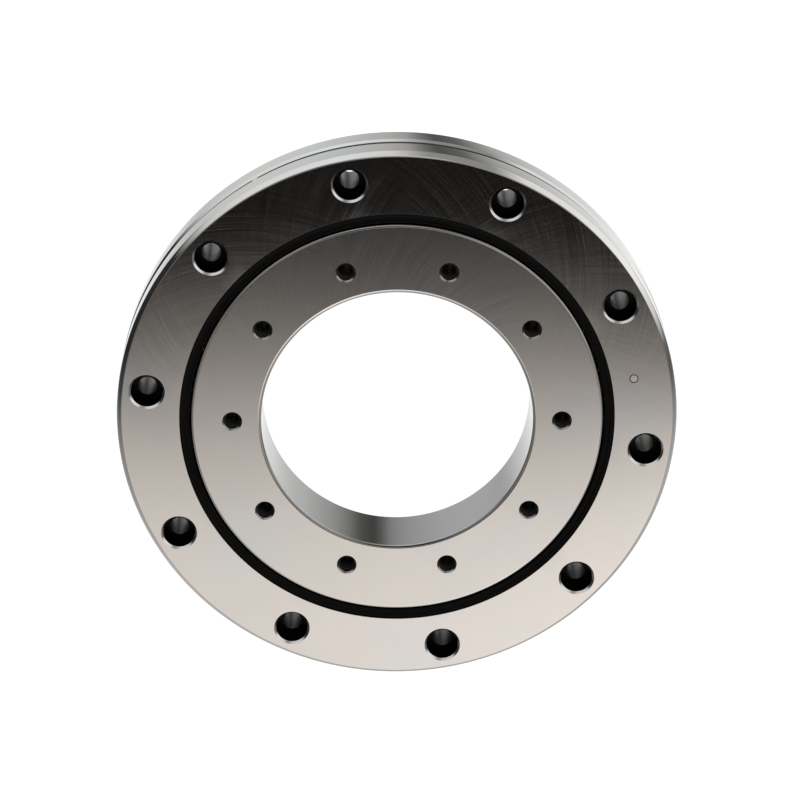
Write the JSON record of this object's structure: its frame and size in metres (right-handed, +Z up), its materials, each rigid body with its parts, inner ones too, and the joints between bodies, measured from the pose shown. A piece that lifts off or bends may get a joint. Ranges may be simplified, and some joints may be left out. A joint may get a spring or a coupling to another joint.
{
  "type": "crossed roller bearing",
  "caption": "Flat crossed roller bearing: inner ring turns in outer ring on crossed rollers, screw holes in both rings, rubber seals in both faces.",
  "frame": {"origin": "centre of the lower face, on the bearing's axis", "axes": "+Z up along the bearing's axis, out of the face with the screw-head counterbores; +X through one of the outer ring's mounting holes"},
  "size_m": [0.165, 0.165, 0.022],
  "materials": {
    "ring_steel": "ground bearing steel, fine lay marks",
    "plug_steel": "ground together with the outer ring",
    "pin_steel": "turned, flush with the face",
    "seal_rubber": "moulded black nitrile rubber, satin",
    "separator_plastic": "moulded, natural",
    "roller_steel": "ground and polished"
  },
  "bodies": {
    "outer_ring": {"outer_ring": "ring_steel", "upper_seal": "seal_rubber", "lower_seal": "seal_rubber", "filling_plug": "plug_steel", "locking_pin": "pin_steel"},
    "inner_ring": {"inner_ring": "ring_steel"},
    "roller_train": {"roller_separators": "separator_plastic"},
    "roller_01": {"roller_01": "roller_steel"},
    "roller_02": {"roller_02": "roller_steel"},
    "roller_03": {"roller_03": "roller_steel"},
    "roller_04": {"roller_04": "roller_steel"},
    "roller_05": {"roller_05": "roller_steel"},
    "roller_06": {"roller_06": "roller_steel"},
    "roller_07": {"roller_07": "roller_steel"},
    "roller_08": {"roller_08": "roller_steel"},
    "roller_09": {"roller_09": "roller_steel"},
    "roller_10": {"roller_10": "roller_steel"},
    "roller_11": {"roller_11": "roller_steel"},
    "roller_12": {"roller_12": "roller_steel"},
    "roller_13": {"roller_13": "roller_steel"},
    "roller_14": {"roller_14": "roller_steel"},
    "roller_15": {"roller_15": "roller_steel"},
    "roller_16": {"roller_16": "roller_steel"},
    "roller_17": {"roller_17": "roller_steel"},
    "roller_18": {"roller_18": "roller_steel"},
    "roller_19": {"roller_19": "roller_steel"},
    "roller_20": {"roller_20": "roller_steel"},
    "roller_21": {"roller_21": "roller_steel"},
    "roller_22": {"roller_22": "roller_steel"},
    "roller_23": {"roller_23": "roller_steel"},
    "roller_24": {"roller_24": "roller_steel"},
    "roller_25": {"roller_25": "roller_steel"},
    "roller_26": {"roller_26": "roller_steel"},
    "roller_27": {"roller_27": "roller_steel"},
    "roller_28": {"roller_28": "roller_steel"},
    "roller_29": {"roller_29": "roller_steel"},
    "roller_30": {"roller_30": "roller_steel"},
    "roller_31": {"roller_31": "roller_steel"},
    "roller_32": {"roller_32": "roller_steel"},
    "roller_33": {"roller_33": "roller_steel"},
    "roller_34": {"roller_34": "roller_steel"},
    "roller_35": {"roller_35": "roller_steel"},
    "roller_36": {"roller_36": "roller_steel"}
  },
  "joints": [
    {"name": "inner_ring_spin", "type": "hinge", "parent": "outer_ring", "child": "inner_ring", "pos_m": [0, 0, 0.011], "axis": [0, 0, 1], "continuous": true},
    {"name": "roller_train_spin", "type": "hinge", "parent": "outer_ring", "child": "roller_train", "pos_m": [0, 0, 0.011], "axis": [0, 0, 1], "continuous": true},
    {"name": "roller_01_spin", "type": "hinge", "parent": "roller_train", "child": "roller_01", "pos_m": [0.062, 0, 0.011], "axis": [0.7071, 0, 0.7071], "continuous": true},
    {"name": "roller_02_spin", "type": "hinge", "parent": "roller_train", "child": "roller_02", "pos_m": [0.06106, 0.01077, 0.011], "axis": [-0.6964, -0.1228, 0.7071], "continuous": true},
    {"name": "roller_03_spin", "type": "hinge", "parent": "roller_train", "child": "roller_03", "pos_m": [0.05826, 0.02121, 0.011], "axis": [0.6645, 0.2418, 0.7071], "continuous": true},
    {"name": "roller_04_spin", "type": "hinge", "parent": "roller_train", "child": "roller_04", "pos_m": [0.05369, 0.031, 0.011], "axis": [-0.6124, -0.3536, 0.7071], "continuous": true},
    {"name": "roller_05_spin", "type": "hinge", "parent": "roller_train", "child": "roller_05", "pos_m": [0.04749, 0.03985, 0.011], "axis": [0.5417, 0.4545, 0.7071], "continuous": true},
    {"name": "roller_06_spin", "type": "hinge", "parent": "roller_train", "child": "roller_06", "pos_m": [0.03985, 0.04749, 0.011], "axis": [-0.4545, -0.5417, 0.7071], "continuous": true},
    {"name": "roller_07_spin", "type": "hinge", "parent": "roller_train", "child": "roller_07", "pos_m": [0.031, 0.05369, 0.011], "axis": [0.3536, 0.6124, 0.7071], "continuous": true},
    {"name": "roller_08_spin", "type": "hinge", "parent": "roller_train", "child": "roller_08", "pos_m": [0.02121, 0.05826, 0.011], "axis": [-0.2418, -0.6645, 0.7071], "continuous": true},
    {"name": "roller_09_spin", "type": "hinge", "parent": "roller_train", "child": "roller_09", "pos_m": [0.01077, 0.06106, 0.011], "axis": [0.1228, 0.6964, 0.7071], "continuous": true},
    {"name": "roller_10_spin", "type": "hinge", "parent": "roller_train", "child": "roller_10", "pos_m": [0, 0.062, 0.011], "axis": [0, -0.7071, 0.7071], "continuous": true},
    {"name": "roller_11_spin", "type": "hinge", "parent": "roller_train", "child": "roller_11", "pos_m": [-0.01077, 0.06106, 0.011], "axis": [-0.1228, 0.6964, 0.7071], "continuous": true},
    {"name": "roller_12_spin", "type": "hinge", "parent": "roller_train", "child": "roller_12", "pos_m": [-0.02121, 0.05826, 0.011], "axis": [0.2418, -0.6645, 0.7071], "continuous": true},
    {"name": "roller_13_spin", "type": "hinge", "parent": "roller_train", "child": "roller_13", "pos_m": [-0.031, 0.05369, 0.011], "axis": [-0.3536, 0.6124, 0.7071], "continuous": true},
    {"name": "roller_14_spin", "type": "hinge", "parent": "roller_train", "child": "roller_14", "pos_m": [-0.03985, 0.04749, 0.011], "axis": [0.4545, -0.5417, 0.7071], "continuous": true},
    {"name": "roller_15_spin", "type": "hinge", "parent": "roller_train", "child": "roller_15", "pos_m": [-0.04749, 0.03985, 0.011], "axis": [-0.5417, 0.4545, 0.7071], "continuous": true},
    {"name": "roller_16_spin", "type": "hinge", "parent": "roller_train", "child": "roller_16", "pos_m": [-0.05369, 0.031, 0.011], "axis": [0.6124, -0.3536, 0.7071], "continuous": true},
    {"name": "roller_17_spin", "type": "hinge", "parent": "roller_train", "child": "roller_17", "pos_m": [-0.05826, 0.02121, 0.011], "axis": [-0.6645, 0.2418, 0.7071], "continuous": true},
    {"name": "roller_18_spin", "type": "hinge", "parent": "roller_train", "child": "roller_18", "pos_m": [-0.06106, 0.01077, 0.011], "axis": [0.6964, -0.1228, 0.7071], "continuous": true},
    {"name": "roller_19_spin", "type": "hinge", "parent": "roller_train", "child": "roller_19", "pos_m": [-0.062, 0, 0.011], "axis": [-0.7071, 0, 0.7071], "continuous": true},
    {"name": "roller_20_spin", "type": "hinge", "parent": "roller_train", "child": "roller_20", "pos_m": [-0.06106, -0.01077, 0.011], "axis": [0.6964, 0.1228, 0.7071], "continuous": true},
    {"name": "roller_21_spin", "type": "hinge", "parent": "roller_train", "child": "roller_21", "pos_m": [-0.05826, -0.02121, 0.011], "axis": [-0.6645, -0.2418, 0.7071], "continuous": true},
    {"name": "roller_22_spin", "type": "hinge", "parent": "roller_train", "child": "roller_22", "pos_m": [-0.05369, -0.031, 0.011], "axis": [0.6124, 0.3536, 0.7071], "continuous": true},
    {"name": "roller_23_spin", "type": "hinge", "parent": "roller_train", "child": "roller_23", "pos_m": [-0.04749, -0.03985, 0.011], "axis": [-0.5417, -0.4545, 0.7071], "continuous": true},
    {"name": "roller_24_spin", "type": "hinge", "parent": "roller_train", "child": "roller_24", "pos_m": [-0.03985, -0.04749, 0.011], "axis": [0.4545, 0.5417, 0.7071], "continuous": true},
    {"name": "roller_25_spin", "type": "hinge", "parent": "roller_train", "child": "roller_25", "pos_m": [-0.031, -0.05369, 0.011], "axis": [-0.3536, -0.6124, 0.7071], "continuous": true},
    {"name": "roller_26_spin", "type": "hinge", "parent": "roller_train", "child": "roller_26", "pos_m": [-0.02121, -0.05826, 0.011], "axis": [0.2418, 0.6645, 0.7071], "continuous": true},
    {"name": "roller_27_spin", "type": "hinge", "parent": "roller_train", "child": "roller_27", "pos_m": [-0.01077, -0.06106, 0.011], "axis": [-0.1228, -0.6964, 0.7071], "continuous": true},
    {"name": "roller_28_spin", "type": "hinge", "parent": "roller_train", "child": "roller_28", "pos_m": [0, -0.062, 0.011], "axis": [0, 0.7071, 0.7071], "continuous": true},
    {"name": "roller_29_spin", "type": "hinge", "parent": "roller_train", "child": "roller_29", "pos_m": [0.01077, -0.06106, 0.011], "axis": [0.1228, -0.6964, 0.7071], "continuous": true},
    {"name": "roller_30_spin", "type": "hinge", "parent": "roller_train", "child": "roller_30", "pos_m": [0.02121, -0.05826, 0.011], "axis": [-0.2418, 0.6645, 0.7071], "continuous": true},
    {"name": "roller_31_spin", "type": "hinge", "parent": "roller_train", "child": "roller_31", "pos_m": [0.031, -0.05369, 0.011], "axis": [0.3536, -0.6124, 0.7071], "continuous": true},
    {"name": "roller_32_spin", "type": "hinge", "parent": "roller_train", "child": "roller_32", "pos_m": [0.03985, -0.04749, 0.011], "axis": [-0.4545, 0.5417, 0.7071], "continuous": true},
    {"name": "roller_33_spin", "type": "hinge", "parent": "roller_train", "child": "roller_33", "pos_m": [0.04749, -0.03985, 0.011], "axis": [0.5417, -0.4545, 0.7071], "continuous": true},
    {"name": "roller_34_spin", "type": "hinge", "parent": "roller_train", "child": "roller_34", "pos_m": [0.05369, -0.031, 0.011], "axis": [-0.6124, 0.3536, 0.7071], "continuous": true},
    {"name": "roller_35_spin", "type": "hinge", "parent": "roller_train", "child": "roller_35", "pos_m": [0.05826, -0.02121, 0.011], "axis": [0.6645, -0.2418, 0.7071], "continuous": true},
    {"name": "roller_36_spin", "type": "hinge", "parent": "roller_train", "child": "roller_36", "pos_m": [0.06106, -0.01077, 0.011], "axis": [-0.6964, 0.1228, 0.7071], "continuous": true}
  ],
  "couplings": [
    {"joint": "roller_train_spin", "follows": "inner_ring_spin", "ratio": 0.47719},
    {"joint": "roller_01_spin", "follows": "inner_ring_spin", "ratio": -7.7339},
    {"joint": "roller_02_spin", "follows": "inner_ring_spin", "ratio": -7.7339},
    {"joint": "roller_03_spin", "follows": "inner_ring_spin", "ratio": -7.7339},
    {"joint": "roller_04_spin", "follows": "inner_ring_spin", "ratio": -7.7339},
    {"joint": "roller_05_spin", "follows": "inner_ring_spin", "ratio": -7.7339},
    {"joint": "roller_06_spin", "follows": "inner_ring_spin", "ratio": -7.7339},
    {"joint": "roller_07_spin", "follows": "inner_ring_spin", "ratio": -7.7339},
    {"joint": "roller_08_spin", "follows": "inner_ring_spin", "ratio": -7.7339},
    {"joint": "roller_09_spin", "follows": "inner_ring_spin", "ratio": -7.7339},
    {"joint": "roller_10_spin", "follows": "inner_ring_spin", "ratio": -7.7339},
    {"joint": "roller_11_spin", "follows": "inner_ring_spin", "ratio": -7.7339},
    {"joint": "roller_12_spin", "follows": "inner_ring_spin", "ratio": -7.7339},
    {"joint": "roller_13_spin", "follows": "inner_ring_spin", "ratio": -7.7339},
    {"joint": "roller_14_spin", "follows": "inner_ring_spin", "ratio": -7.7339},
    {"joint": "roller_15_spin", "follows": "inner_ring_spin", "ratio": -7.7339},
    {"joint": "roller_16_spin", "follows": "inner_ring_spin", "ratio": -7.7339},
    {"joint": "roller_17_spin", "follows": "inner_ring_spin", "ratio": -7.7339},
    {"joint": "roller_18_spin", "follows": "inner_ring_spin", "ratio": -7.7339},
    {"joint": "roller_19_spin", "follows": "inner_ring_spin", "ratio": -7.7339},
    {"joint": "roller_20_spin", "follows": "inner_ring_spin", "ratio": -7.7339},
    {"joint": "roller_21_spin", "follows": "inner_ring_spin", "ratio": -7.7339},
    {"joint": "roller_22_spin", "follows": "inner_ring_spin", "ratio": -7.7339},
    {"joint": "roller_23_spin", "follows": "inner_ring_spin", "ratio": -7.7339},
    {"joint": "roller_24_spin", "follows": "inner_ring_spin", "ratio": -7.7339},
    {"joint": "roller_25_spin", "follows": "inner_ring_spin", "ratio": -7.7339},
    {"joint": "roller_26_spin", "follows": "inner_ring_spin", "ratio": -7.7339},
    {"joint": "roller_27_spin", "follows": "inner_ring_spin", "ratio": -7.7339},
    {"joint": "roller_28_spin", "follows": "inner_ring_spin", "ratio": -7.7339},
    {"joint": "roller_29_spin", "follows": "inner_ring_spin", "ratio": -7.7339},
    {"joint": "roller_30_spin", "follows": "inner_ring_spin", "ratio": -7.7339},
    {"joint": "roller_31_spin", "follows": "inner_ring_spin", "ratio": -7.7339},
    {"joint": "roller_32_spin", "follows": "inner_ring_spin", "ratio": -7.7339},
    {"joint": "roller_33_spin", "follows": "inner_ring_spin", "ratio": -7.7339},
    {"joint": "roller_34_spin", "follows": "inner_ring_spin", "ratio": -7.7339},
    {"joint": "roller_35_spin", "follows": "inner_ring_spin", "ratio": -7.7339},
    {"joint": "roller_36_spin", "follows": "inner_ring_spin", "ratio": -7.7339}
  ]
}
